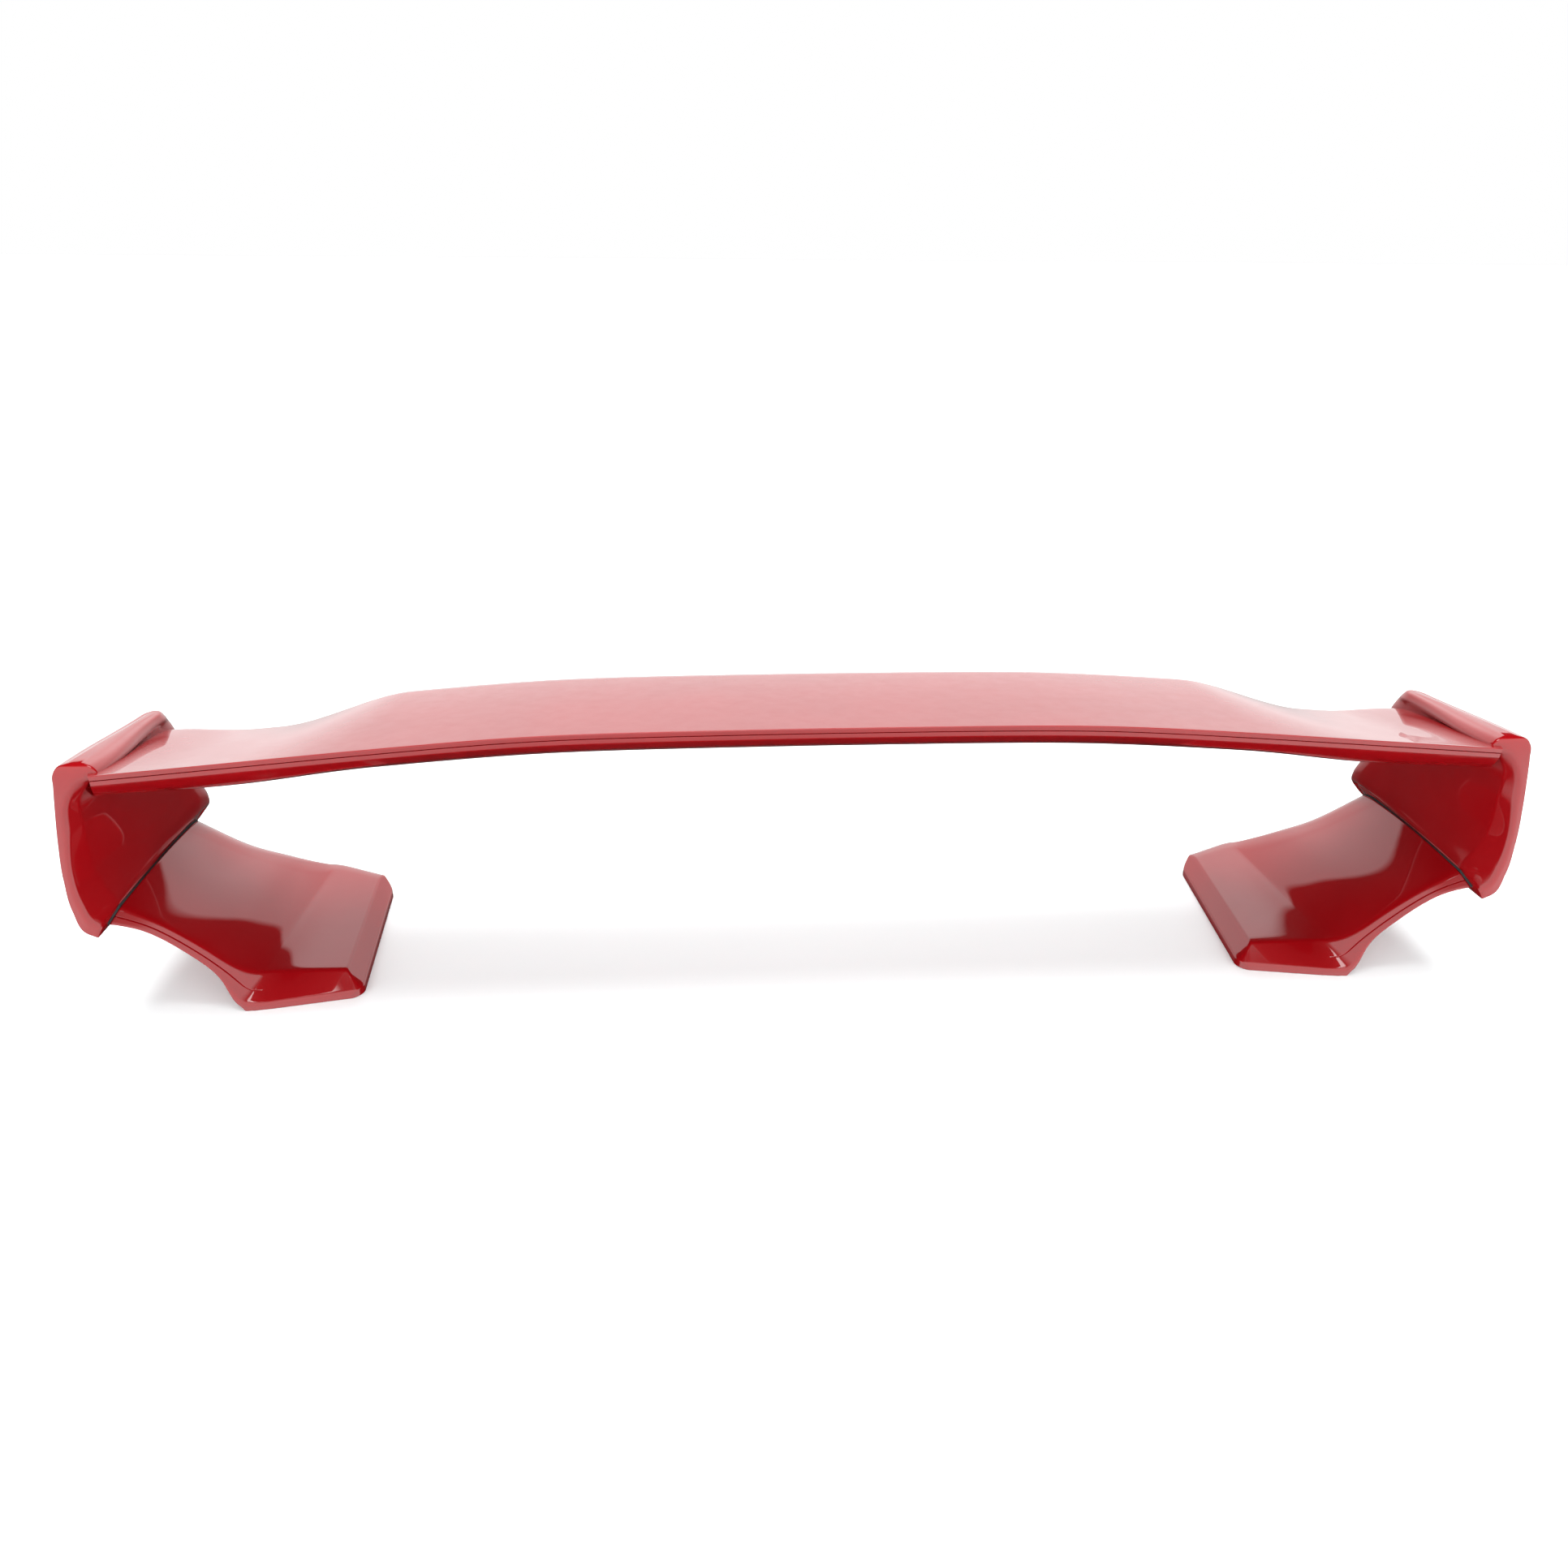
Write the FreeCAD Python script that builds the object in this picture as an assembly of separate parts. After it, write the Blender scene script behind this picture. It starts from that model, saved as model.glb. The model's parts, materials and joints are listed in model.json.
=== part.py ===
import FreeCAD, Part
import math
import os

# Boot-lid rear wing: an arched blade between two end plates, each carried by a leg and a foot pad.
# Frame: X is the span, +Y points to the front of the car, +Z is up, millimetres.
# Shapes are written with Y = 0 at the rear of the end plates and Z = 0 under the foot gaskets;
# Y_CENTRE then moves the origin to the middle of the base.

Vec = FreeCAD.Vector

# ---- driving dimensions -------------------------------------------------------------------
Y_CENTRE = 139.5            # middle of the overall depth

WALL = 3.0                  # moulded skin thickness
CLEAR = 0.3                 # gap between an inner piece and the skin round it

# blade
TE_Y = -10.0                # trailing edge, top crease
TE_Z = 312.2                # its height at the centre
TE_FACE = 12.0              # height of the flat trailing edge face
TE_RAKE = 5.0               # how far the face leans forward at its bottom
DROOP_START = 260.0         # where the blade starts to droop
DROOP_SOFT = 83.0           # how softly it does
DROOP_SLOPE = 0.087         # droop per unit of span beyond that
LE_Y = 214.0                # leading edge at the centre
LE_Z = 273.0
LE_STEP_FROM = 405.0        # the leading edge steps down and back between these two stations
LE_STEP_TO = 535.0
LE_STEP_Z = 20.0
LE_STEP_Y = 20.0
LE_RISE_FROM = 560.0        # and levels out towards the end plate
LE_RISE_TO = 650.0
LE_RISE_Z = 9.0
BLADE_NOSE = 30.0           # length of the rounded leading edge
BLADE_UP = 11.0             # height of the nose above and below the chord line
BLADE_LOW = 12.0
BLADE_UP_SLOPE = 0.03       # how the two surfaces leave the trailing edge
BLADE_LOW_SLOPE = 0.68
BLADE_END = 668.0           # blade is built past the end plate and trimmed by it
TE_END = 634.0              # but its trailing edge stops short, with a slanted corner
TE_END_SLANT = 0.5          # span gained per unit of chord
BLADE_STATIONS = (0.0, 130.0, 260.0, 350.0, 410.0, 470.0, 530.0, 600.0, BLADE_END)

# spar and ribs
SPAR_AT = 105.0             # distance of the spar's middle from the trailing edge
SPAR_LIFT = 1.5             # spar centre above the middle of the section
SPAR_W = 40.0
SPAR_H = 10.0
SPAR_WALL = 2.0
SPAR_HALF = 612.0
RIB_T = 4.0
RIB_AT = (0.0, 280.0, 540.0)

# leg joint
GASKET_T = 2.0
END_WALL = 4.0              # closed end of the end plate and of the leg at the joint
STUD_R = 3.0                # M6
STUD_HOLE_R = 3.4
STUD_SPREAD = 40.0          # either side of the joint's middle
JOINT_PLATE_T = 3.0
WELD_DEPTH = 1.0            # how far a stud goes into the plate it is welded to
PLATE_INSET = 1.5           # inner plates keep this far from the skin
FLANGE_T = 4.0              # stay flange under the joint
FLANGE_INSET = 4.5          # its edge back from the leg's wall
NUT_AF = 10.0
NUT_H = 5.0
STUD_TAIL = 2.0             # thread showing past the nut
FIT = 0.05                  # running gap of a screw in its thread

# stay inside the leg
STAY_T = 4.0
STAY_Y = (112.0, 152.0)
STAY_BEND_X = 552.0
STAY_END_X = 500.0

# spar brackets
BRACKET_T = 2.5
BRACKET_W = 36.0
BRACKET_LAP = 36.0
BRACKET_END = 30.0          # the upright is centred on the section this far past the spar
FLANGE_X = 645.0            # face of the upright, against the end plate
BOLT_R = 2.5
BOLT_HEAD_R = 4.2
BOLT_HEAD_H = 1.5
BOLT_SPREAD = 11.0
WALL_BOLT_REACH = 12.0

# foot
FOOT_WALL_H = 8.0           # upright edge of the pad
FOOT_TOP = 23.0             # plateau
PAD_REACH = 90.0            # how far inboard the pad runs from the leg's last section
PAD_NARROWS = 45.0          # and how much its front edge falls back on the way
PAD_GASKET_T = 2.0
PLATE_T = 3.0
INSERT_R = 3.4              # M8 tap drill
INSERT_OUT_R = 7.5
INSERT_H = 10.0
INSERT_X = 513.0
INSERT_Y = (95.0, 215.0)
SCREW_R = 2.0
SCREW_HEAD_R = 3.8
SCREW_HEAD_H = 1.6
SCREW_LEN = 11.0
BOSS_R = 5.0
SCREW_AT = ((482.0, 75.0), (482.0, 235.0), (545.0, 85.0), (545.0, 235.0))

# End plate, bottom to top: rear inner crease, rear outer edge and front edge of each section,
# then the heights of its nose on the inner and the outer side and the nose length.
FIN = (
    ((668, 42, 120), (681, 12, 99), (664, 247, 112), 14, 9, 38),
    ((670, 40, 128), (691, 10, 107), (657, 246, 120), 12, 12, 36),
    ((674, 35, 143), (696, 9, 130), (653, 240, 135), 11, 13, 32),
    ((676, 28, 170), (695, 7, 165), (654, 225, 165), 10, 13, 30),
    ((669, 18, 214), (689, 4, 205), (655, 211, 205), 9, 13, 28),
    ((661, 11, 248), (681, 1, 245), (656, 200, 236), 9, 12, 26),
    ((648, 6, 265), (677, 0, 264), (658, 195, 247), 9, 12, 24),
    ((637, 2, 275), (675, 1, 276), (659, 190, 254), 10, 11, 22),
    ((641, 4, 281), (671, 3, 282), (659, 185, 260), 8, 9, 20),
    ((650, 8, 284), (663, 8, 284), (659, 176, 262), 3, 3, 12),
)
HOLLOW_ROWS = 7             # the inside stops below the bead, which is solid
POCKET_DEPTH = 6.0
# Leg, joint to foot: rear ridge, rear bottom edge and front edge, then heights of the nose above
# and below its edge, nose length, and the upright edges under the rear bottom edge and the front.
LEG = (
    ((668, 38, 119), (676, 24, 110), (668, 232, 106), 16, 11, 45, 1.5, 1.5),
    ((634, 35, 101), (642, 26, 97), (632, 252, 68), 14, 11, 45, 1.5, 1.5),
    ((597, 38, 68), (606, 28, 66), (590, 266, 44), 12, 10, 42, 1.5, 2.0),
    ((579, 42, 46), (589, 31, 44), (568, 277, 30), 10, 8, 38, 2.0, 3.0),
    ((567, 48, 32), (581, 32, 27), (551, 285, 20), 9, 7, 32, 3.0, 5.0),
    ((556, 56, 25.5), (570, 29, 9), (545, 288, 17), 8, 12, 26, 6.0, 12.0),
    ((536, 64, 23), (536, 29.5, 8), (532, 286, 15.5), 7.5, 13.5, 22, 6.0, 13.5),
)
# Foot pad in plan, each from the rear outboard corner: its base, then the bevelled block over it,
# at the base and round the plateau. The block runs on outboard, under the leg.
PAD_BASE = ((568, 24), (456, 44), (470, 256), (545, 290))
BLOCK_BASE = ((640, 11), (456, 44), (470, 256), (640, 333))
BLOCK_TOP = ((640, 67), (473, 62), (482.5, 258), (640, 330))
PAD_R = (8.0, 14.0, 26.0, 12.0)
BLOCK_TOP_R = (4.0, 4.0, 18.0, 4.0)

SAMPLES = 6                 # points along each long side of a section
NOSE_SAMPLES = 4            # points round each half of a nose


# ---- section shape ------------------------------------------------------------------------
def vec(p):
    return Vec(float(p[0]), float(p[1]), float(p[2]))


def smoothstep(x, a, b):
    t = min(max((x - a) / (b - a), 0.0), 1.0)
    return t * t * (3.0 - 2.0 * t)


def hermite(t, h0, h1, slope, run):
    """Height that starts at h0 with a slope and ends level at h1."""
    return ((2 * t**3 - 3 * t**2 + 1) * h0 + (t**3 - 2 * t**2 + t) * slope * run
            + (3 * t**2 - 2 * t**3) * h1)


class Section:
    """A blunt-tailed aerofoil in the plane of three points: tail upper, tail lower and nose.

    tail_wall and nose_wall are short upright edges below the tail's lower corner and the nose.
    """

    def __init__(self, upper, lower, nose, up, low, nose_len, tail_wall=0.0, nose_wall=0.0,
                 up_slope=0.1, low_slope=0.05):
        self.upper, self.lower, self.nose = vec(upper), vec(lower), vec(nose)
        self.tail = (self.upper + self.lower) * 0.5
        self.chord_dir = (self.nose - self.tail).normalize()
        across = self.upper - self.tail
        across = across - self.chord_dir * across.dot(self.chord_dir)
        self.half_tail = across.Length
        self.up_dir = Vec(across).normalize()
        self.normal = self.chord_dir.cross(self.up_dir)
        self.chord = (self.nose - self.tail).Length
        self.skew = (self.upper - self.tail).dot(self.chord_dir)
        self.up, self.low, self.nose_len = up, low, nose_len
        self.tail_wall, self.nose_wall = tail_wall, nose_wall
        self.up_slope, self.low_slope = up_slope, low_slope

    def at(self, along, height):
        return self.tail + self.chord_dir * along + self.up_dir * height

    def side(self, sign, inset):
        """Points of one side, tail to nose. sign +1 is the upper side, -1 the lower."""
        if sign > 0:
            tail_height, height, edge, slope = self.half_tail, self.up, 0.0, self.up_slope
        else:
            tail_height = self.half_tail + self.tail_wall
            height, edge, slope = self.low, self.nose_wall, self.low_slope
        start = sign * self.skew
        run = self.chord - self.nose_len - start
        points = []
        for i in range(SAMPLES):
            t = i / SAMPLES
            along = start + run * t + (inset if i == 0 else 0.0)
            points.append(self.at(along, sign * (hermite(t, tail_height, height, slope, run) - inset)))
        for j in range(NOSE_SAMPLES + 1):
            turn = 0.5 * math.pi * j / NOSE_SAMPLES
            along = self.chord - self.nose_len + (self.nose_len - inset) * math.sin(turn)
            drop = edge + (height - inset - edge) * math.cos(turn)
            points.append(self.at(along, sign * drop))
        return points

    def middle(self, along):
        """Point half way between the two sides at a distance from the tail."""
        run = self.chord - self.nose_len
        t = along / run
        top = hermite(t, self.half_tail, self.up, self.up_slope, run)
        bottom = hermite(t, self.half_tail + self.tail_wall, self.low, self.low_slope, run)
        return self.at(along, 0.5 * (top - bottom))

    def wire(self, inset=0.0):
        """Closed outline: upper side, nose edge, lower side, tail edge and tail face."""
        upper, lower = self.side(1, inset), self.side(-1, inset)
        lower.reverse()
        edges = [spline(upper)]
        if self.nose_wall:
            edges.append(Part.makeLine(upper[-1], lower[0]))
        edges.append(spline(lower))
        if self.tail_wall:
            corner = self.at(-self.skew + inset, -(self.half_tail - inset))
            edges.append(Part.makeLine(lower[-1], corner))
            edges.append(Part.makeLine(corner, upper[0]))
        else:
            edges.append(Part.makeLine(lower[-1], upper[0]))
        return Part.Wire(edges)


def spline(points):
    curve = Part.BSplineCurve()
    curve.interpolate(points)
    return curve.toShape()


def loft(wires, ruled=False):
    return Part.makeLoft(wires, True, ruled)


def biggest(shape):
    return max(shape.Solids, key=lambda s: s.Volume)


def mirrored(shape):
    return shape.mirror(Vec(0, 0, 0), Vec(1, 0, 0))


# ---- blade --------------------------------------------------------------------------------
def droop(x):
    d = abs(x) - DROOP_START
    return DROOP_SLOPE * 0.5 * (d + math.sqrt(d * d + DROOP_SOFT * DROOP_SOFT))


def blade_section(x):
    a = abs(x)
    step = smoothstep(a, LE_STEP_FROM, LE_STEP_TO)
    rise = smoothstep(a, LE_RISE_FROM, LE_RISE_TO)
    te_z = TE_Z - droop(x)
    nose_y = LE_Y - LE_STEP_Y * step
    nose_z = LE_Z - droop(x) - LE_STEP_Z * step + LE_RISE_Z * rise
    return Section((x, TE_Y, te_z), (x, TE_Y + TE_RAKE, te_z - TE_FACE), (x, nose_y, nose_z),
                   BLADE_UP, BLADE_LOW, BLADE_NOSE,
                   up_slope=BLADE_UP_SLOPE, low_slope=BLADE_LOW_SLOPE)


def span_stations():
    half = list(BLADE_STATIONS)
    return [-x for x in reversed(half[1:])] + half


def blade_skin(sign):
    """Upper (+1) or lower (-1) skin, lofted as a thin band from one tip to the other."""
    wires = []
    for x in span_stations():
        s = blade_section(x)
        outer = s.side(sign, 0.0)
        inner = s.side(sign, WALL)
        inner.reverse()
        tail_out, tail_in = s.tail, s.at(WALL, 0.0)
        wires.append(Part.Wire([Part.makeLine(tail_out, outer[0]), spline(outer),
                                Part.makeLine(outer[-1], inner[0]), spline(inner),
                                Part.makeLine(inner[-1], tail_in), Part.makeLine(tail_in, tail_out)]))
    return loft(wires)


def blade_core(inset):
    return loft([blade_section(x).wire(inset) for x in span_stations()])


def tip_trim():
    """Wedge that takes off the blade's trailing corner at the right-hand end plate."""
    near, far = TE_Y - 10.0, TE_Y + 60.0
    gain = TE_END_SLANT * (far - near)
    ring = [Vec(TE_END, near, 200.0), Vec(TE_END + gain, far, 200.0), Vec(BLADE_END + 60.0, far, 200.0),
            Vec(BLADE_END + 60.0, near, 200.0), Vec(TE_END, near, 200.0)]
    return Part.Face(Part.makePolygon(ring)).extrude(Vec(0, 0, 150.0))


def spar_frame(x):
    s = blade_section(x)
    return s.middle(SPAR_AT) + s.up_dir * SPAR_LIFT, s.chord_dir, s.up_dir


def spar_tube(width, height, half_span):
    wires = []
    for k in range(-6, 7):
        centre, along, up = spar_frame(half_span * k / 6.0)
        w, h = along * (width / 2.0), up * (height / 2.0)
        wires.append(Part.makePolygon([centre - w - h, centre + w - h, centre + w + h, centre - w + h,
                                       centre - w - h]))
    return loft(wires, ruled=True)


def spar():
    outer = spar_tube(SPAR_W, SPAR_H, SPAR_HALF)
    inner = spar_tube(SPAR_W - 2 * SPAR_WALL, SPAR_H - 2 * SPAR_WALL, SPAR_HALF + 1.0)
    return outer.cut(inner)


def rib(x, core, spar_void):
    slab = Part.makeBox(RIB_T, 300.0, 200.0, Vec(x - RIB_T / 2.0, -40.0, 180.0))
    return biggest(core.common(slab).cut(spar_void))


# ---- joint plane --------------------------------------------------------------------------
JOINT = Section(*FIN[0])
OUT = JOINT.normal if JOINT.normal.z > 0 else JOINT.normal * -1.0


def on_joint_plane(p):
    p = vec(p)
    return p - OUT * (p - JOINT.tail).dot(OUT)


def leg_section(k):
    upper, lower, nose, up, low, nose_len, tail_wall, nose_wall = LEG[k]
    if k == 0:
        upper, lower, nose = on_joint_plane(upper), on_joint_plane(lower), on_joint_plane(nose)
    return Section(upper, lower, nose, up, low, nose_len, tail_wall, nose_wall)


LEG_TOP = leg_section(0)


def moved(wire, distance):
    wire = wire.copy()
    wire.translate(OUT * distance)
    return wire


def joint_slab(section, inset, start, thickness):
    """Plate in the outline of a section, from start along the joint normal."""
    face = Part.Face(moved(section.wire(inset), start))
    return face.extrude(OUT * thickness)


def stud_points():
    centre = LEG_TOP.chord * 0.47
    return [LEG_TOP.middle(centre - STUD_SPREAD), LEG_TOP.middle(centre + STUD_SPREAD)]


def stud_rods(radius, start, length):
    rods = [Part.makeCylinder(radius, length, p + OUT * start, OUT) for p in stud_points()]
    return Part.makeCompound(rods)


# ---- end plate ----------------------------------------------------------------------------
def fin_solid():
    """End plate from the joint to the rounded crown of its bead."""
    return loft([Section(*row).wire() for row in FIN])


def fin_inside(inset, height):
    """Inside of the end plate at a distance from its outline, from its closed foot up."""
    hollow = loft([Section(*row).wire(inset) for row in FIN[:HOLLOW_ROWS]])
    foot = JOINT.middle(JOINT.chord / 2.0) + OUT * END_WALL
    return hollow.common(Part.makeCylinder(400.0, height, foot, OUT))


def fin_hollow():
    """Inside of the end plate, with a pocket for the stud plate at its foot."""
    pocket = joint_slab(JOINT, WALL, END_WALL, POCKET_DEPTH).common(fin_inside(WALL, POCKET_DEPTH))
    return fin_inside(END_WALL, 400.0).fuse(pocket)


END_PLATE_OUTER = fin_solid()


def end_plate(bolt_voids):
    shell = END_PLATE_OUTER.cut(fin_hollow())
    return biggest(shell.cut(stud_rods(STUD_HOLE_R, -1.0, END_WALL + 2.0)).cut(bolt_voids))


def joint_plate():
    """Steel plate with two welded studs that reach down into the leg."""
    inset = WALL + PLATE_INSET
    plate = joint_slab(JOINT, inset, END_WALL, JOINT_PLATE_T).common(fin_inside(inset, JOINT_PLATE_T))
    reach = GASKET_T + END_WALL + FLANGE_T + NUT_H + STUD_TAIL
    return plate.fuse(stud_rods(STUD_R, -reach, reach + END_WALL + WELD_DEPTH)).removeSplitter()


def joint_gasket():
    slab = joint_slab(LEG_TOP, 0.0, -GASKET_T, GASKET_T)
    return slab.cut(stud_rods(STUD_HOLE_R, -GASKET_T - 1.0, GASKET_T + 2.0))


def joint_nuts():
    """Hexagon nuts under the flange of the stay."""
    start = -(GASKET_T + END_WALL + FLANGE_T + NUT_H)
    side = LEG_TOP.chord_dir
    across = OUT.cross(side)
    radius = NUT_AF / math.sqrt(3.0)
    nuts = []
    for p in stud_points():
        ring = [p + OUT * start + side * (radius * math.cos(math.radians(60 * k)))
                + across * (radius * math.sin(math.radians(60 * k))) for k in range(7)]
        nuts.append(Part.Face(Part.makePolygon(ring)).extrude(OUT * NUT_H))
    return Part.makeCompound(nuts).cut(stud_rods(STUD_R + FIT, start - 1.0, NUT_H + 2.0))


# ---- leg and foot -------------------------------------------------------------------------
PLATE_BOTTOM = PAD_GASKET_T
PLATE_TOP = PAD_GASKET_T + PLATE_T


def inset_corners(corners, distances):
    """Corners of a convex quadrilateral moved in by a distance from each side."""
    lines = []
    middle = [sum(c[i] for c in corners) / len(corners) for i in (0, 1)]
    for k, a in enumerate(corners):
        b = corners[(k + 1) % len(corners)]
        nx, ny = b[1] - a[1], a[0] - b[0]
        size = math.hypot(nx, ny)
        nx, ny = nx / size, ny / size
        if (middle[0] - a[0]) * nx + (middle[1] - a[1]) * ny < 0:
            nx, ny = -nx, -ny
        lines.append((nx, ny, nx * a[0] + ny * a[1] + distances[k]))
    out = []
    for k in range(len(corners)):
        (a1, b1, c1), (a2, b2, c2) = lines[k - 1], lines[k]
        det = a1 * b2 - a2 * b1
        out.append(((c1 * b2 - c2 * b1) / det, (a1 * c2 - a2 * c1) / det))
    return out


def pad_radii(inset):
    return [max(r - inset, 1.0) for r in PAD_R]


def pad_base(inset):
    return inset_corners(PAD_BASE, [inset] * len(PAD_BASE))


def rounded_outline(corners, radii, z):
    """Closed wire with straight sides and an arc of its own radius at each corner."""
    points = [Vec(c[0], c[1], z) for c in corners]
    edges, ends = [], []
    for k, p in enumerate(points):
        to_last = (points[k - 1] - p).normalize()
        to_next = (points[(k + 1) % len(points)] - p).normalize()
        half = 0.5 * to_last.getAngle(to_next)
        reach = radii[k] / math.tan(half)
        bisector = (to_last + to_next).normalize()
        mid = p + bisector * (radii[k] / math.sin(half) - radii[k])
        ends.append((p + to_last * reach, mid, p + to_next * reach))
    for k, (start, mid, end) in enumerate(ends):
        edges.append(Part.Arc(start, mid, end).toShape())
        edges.append(Part.makeLine(end, ends[(k + 1) % len(ends)][0]))
    return Part.Wire(edges)


def bevel_prism(inset, floor):
    """Block of the foot: upright up to the wall's height, then drawn in past the plateau."""
    wall_top = FOOT_WALL_H - 0.4 * inset
    rise = FOOT_TOP - FOOT_WALL_H
    base = inset_corners(BLOCK_BASE, [inset] * 4)
    top = inset_corners(BLOCK_TOP, [inset] * 4)
    high = [(b[0] + 1.5 * (t[0] - b[0]), b[1] + 1.5 * (t[1] - b[1])) for b, t in zip(base, top)]
    low_edge = rounded_outline(base, pad_radii(inset), floor)
    wall_edge = rounded_outline(base, pad_radii(inset), wall_top)
    crown = rounded_outline(high, BLOCK_TOP_R, wall_top + 1.5 * rise)
    return loft([low_edge, wall_edge, crown], ruled=True)


def pad_solid(inset=0.0, floor=0.0):
    """Foot pad inboard of the leg's last section."""
    last = leg_section(len(LEG) - 1)
    row = LEG[-1]
    upper, lower, nose = [(x - PAD_REACH, y, z) for x, y, z in row[:3]]
    far = Section(upper, lower, (nose[0], nose[1] - PAD_NARROWS, nose[2]), *row[3:])
    return loft([last.wire(inset), far.wire(inset)], ruled=True).common(bevel_prism(inset, floor))


def leg_solid(inset=0.0, drop=0.0):
    wires = [leg_section(k).wire(inset) for k in range(len(LEG))]
    wires[0] = moved(wires[0], -drop)
    return loft(wires)


def pad_opening():
    """Hole in the underside that the foot plate closes."""
    outline = rounded_outline(pad_base(WALL), pad_radii(WALL), 0.0)
    return Part.Face(outline).extrude(Vec(0, 0, PLATE_TOP + CLEAR))


def above(z):
    return Part.makeBox(400.0, 500.0, 400.0, Vec(380.0, -80.0, z))


def leg_outer():
    return leg_solid(0.0, GASKET_T).fuse(pad_solid()).common(above(PAD_GASKET_T))


def leg_hollows():
    floor = PAD_GASKET_T + WALL
    hollow = leg_solid(WALL, GASKET_T + END_WALL).common(above(floor))
    return [hollow, pad_solid(WALL, floor), pad_opening()]


def screw_rods(radius, z, height):
    return Part.makeCompound([Part.makeCylinder(radius, height, Vec(x, y, z)) for x, y in SCREW_AT])


def insert_rods(radius, z, height):
    rods = [Part.makeCylinder(radius, height, Vec(INSERT_X, y, z)) for y in INSERT_Y]
    return Part.makeCompound(rods)


def leg():
    outer = leg_outer()
    shell = outer
    for hollow in leg_hollows():
        shell = shell.cut(hollow)
    bosses = screw_rods(BOSS_R, PLATE_TOP, 60.0).common(outer)
    shell = shell.fuse(bosses).cut(screw_rods(SCREW_R + FIT, PLATE_TOP - 1.0, SCREW_LEN))
    return biggest(shell.cut(stud_rods(STUD_HOLE_R, -GASKET_T - END_WALL - 1.0, END_WALL + 2.0)))


def foot_plate():
    outline = rounded_outline(pad_base(WALL + CLEAR), pad_radii(WALL + CLEAR), PLATE_BOTTOM)
    plate = Part.Face(outline).extrude(Vec(0, 0, PLATE_T))
    plate = plate.cut(insert_rods(INSERT_OUT_R + FIT, 0.0, 20.0))
    return plate.cut(screw_rods(SCREW_R + 0.2, 0.0, 20.0))


def foot_gasket():
    outline = rounded_outline(pad_base(1.0), pad_radii(1.0), 0.0)
    pad = Part.Face(outline).extrude(Vec(0, 0, PAD_GASKET_T))
    pad = pad.cut(insert_rods(INSERT_OUT_R + 1.0, -1.0, 10.0))
    return pad.cut(screw_rods(SCREW_HEAD_R + 0.5, -1.0, 10.0))


def foot_inserts():
    return insert_rods(INSERT_OUT_R, PLATE_BOTTOM, INSERT_H + PLATE_T).cut(
        insert_rods(INSERT_R, PLATE_BOTTOM - 1.0, INSERT_H + PLATE_T + 2.0))


def foot_screws():
    screws = []
    for x, y in SCREW_AT:
        head = Part.makeCylinder(SCREW_HEAD_R, SCREW_HEAD_H, Vec(x, y, PLATE_BOTTOM - SCREW_HEAD_H))
        shank = Part.makeCylinder(SCREW_R, SCREW_LEN - 1.0, Vec(x, y, PLATE_BOTTOM))
        drive = Part.makeCylinder(1.1, 1.0, Vec(x, y, PLATE_BOTTOM - SCREW_HEAD_H))
        screws.append(head.fuse(shank).cut(drive))
    return Part.makeCompound(screws)


def bent_strip(path, thickness, y_from, y_to):
    """Flat bar bent along a path in the XZ plane, mitred at its bends."""
    left, right = [], []
    for k, (x, z) in enumerate(path):
        before = path[max(k - 1, 0)]
        after = path[min(k + 1, len(path) - 1)]
        n1 = unit_normal(before, (x, z)) if k else unit_normal((x, z), after)
        n2 = unit_normal((x, z), after) if k < len(path) - 1 else n1
        bx, bz = n1[0] + n2[0], n1[1] + n2[1]
        scale = thickness / (bx * bx + bz * bz)
        left.append(Vec(x + bx * scale, y_from, z + bz * scale))
        right.append(Vec(x - bx * scale, y_from, z - bz * scale))
    ring = left + right[::-1]
    return Part.Face(Part.makePolygon(ring + [ring[0]])).extrude(Vec(0, y_to - y_from, 0))


def unit_normal(a, b):
    dx, dz = b[0] - a[0], b[1] - a[1]
    size = math.hypot(dx, dz)
    return -dz / size, dx / size


def stay():
    """Bent steel bar from a flange under the leg's top wall to the foot plate."""
    flange_top = -(GASKET_T + END_WALL)
    flange = joint_slab(LEG_TOP, WALL + FLANGE_INSET, flange_top - FLANGE_T, FLANGE_T)
    head = LEG_TOP.middle(LEG_TOP.chord * 0.47) + OUT * (flange_top - FLANGE_T / 2.0)
    path = [(head.x, head.z)]
    for k in (1, 2, 3):
        section = leg_section(k)
        p = section.middle(section.chord * 0.42)
        path.append((p.x, p.z))
    seat = PLATE_TOP + STAY_T / 2.0
    path += [(STAY_BEND_X, seat), (STAY_END_X, seat)]
    bar = bent_strip(path, STAY_T, STAY_Y[0], STAY_Y[1])
    body = flange.fuse(bar).removeSplitter()
    return biggest(body.cut(stud_rods(STUD_HOLE_R, -30.0, 30.0)))


# ---- blade ends ---------------------------------------------------------------------------
def bracket_frame():
    return spar_frame(SPAR_HALF - BRACKET_LAP / 2.0)


def block(origin, along, up, x_from, x_to, width, low, high):
    """Box in the spar's end frame: x along the span, width along the chord."""
    span = along.cross(up)
    span = span if span.x > 0 else span * -1.0
    start = origin + span * (x_from - origin.x) - along * (width / 2.0) + up * low
    face = Part.makePolygon([start, start + along * width, start + along * width + up * (high - low),
                             start + up * (high - low), start])
    return Part.Face(face).extrude(span * (x_to - x_from))


def bracket_bolt_points():
    centre, along, up = bracket_frame()
    return [centre - along * BOLT_SPREAD, centre + along * BOLT_SPREAD], up


def bracket_bolt_rods(radius, low, high):
    points, up = bracket_bolt_points()
    return Part.makeCompound([Part.makeCylinder(radius, high - low, p + up * low, up) for p in points])


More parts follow.
